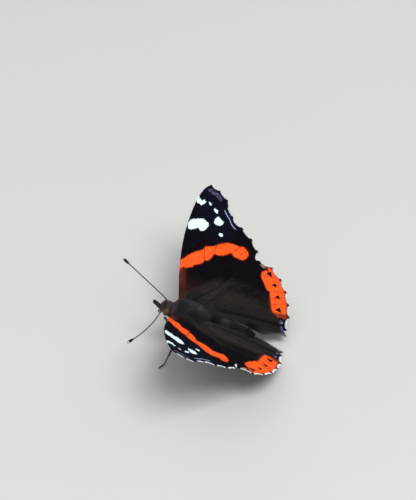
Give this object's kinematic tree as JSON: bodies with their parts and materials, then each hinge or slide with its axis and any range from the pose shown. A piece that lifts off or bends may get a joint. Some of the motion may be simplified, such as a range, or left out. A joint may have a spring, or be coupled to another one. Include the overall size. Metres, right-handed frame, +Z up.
{
  "type": "butterfly",
  "caption": "Life-size still model of a red admiral butterfly, standing on its walking legs with the wings half open and the feelers held forward.",
  "frame": {"origin": "middle of the animal's box at floor level, under the thorax", "axes": "+X to the animal's left along the wingspan, -Y towards the head, +Z up from the floor"},
  "size_m": [0.0614, 0.0338, 0.0191],
  "materials": {
    "fur": "short dark olive-brown hair with a grey-blue bloom on the shoulders",
    "eye": "faceted brown eye, satin gloss, pale rim below",
    "palp": "dark bristly scales",
    "antenna": "dark scaled shaft with pale rings, black club with a white tip",
    "tongue": "coiled horn-brown tube, satin",
    "forewing": "scaled membrane, blue-black and brown with a vivid orange-red band and white spots, matt",
    "hindwing": "scaled membrane, dark brown with an orange-red border holding black spots, hairy at the base, matt",
    "leg": "grey-brown scaled leg, matt"
  },
  "bodies": {
    "root": {"head": "fur", "eye_left": "eye", "eye_right": "eye", "palp_left": "palp", "palp_right": "palp", "antenna_left": "antenna", "antenna_right": "antenna", "tongue": "tongue", "thorax": "fur", "abdomen": "fur", "forewing_left": "forewing", "forewing_right": "forewing", "hindwing_left": "hindwing", "hindwing_right": "hindwing", "foreleg_left": "leg", "foreleg_right": "leg", "midleg_left": "leg", "midleg_right": "leg", "hindleg_left": "leg", "hindleg_right": "leg"}
  },
  "joints": []
}
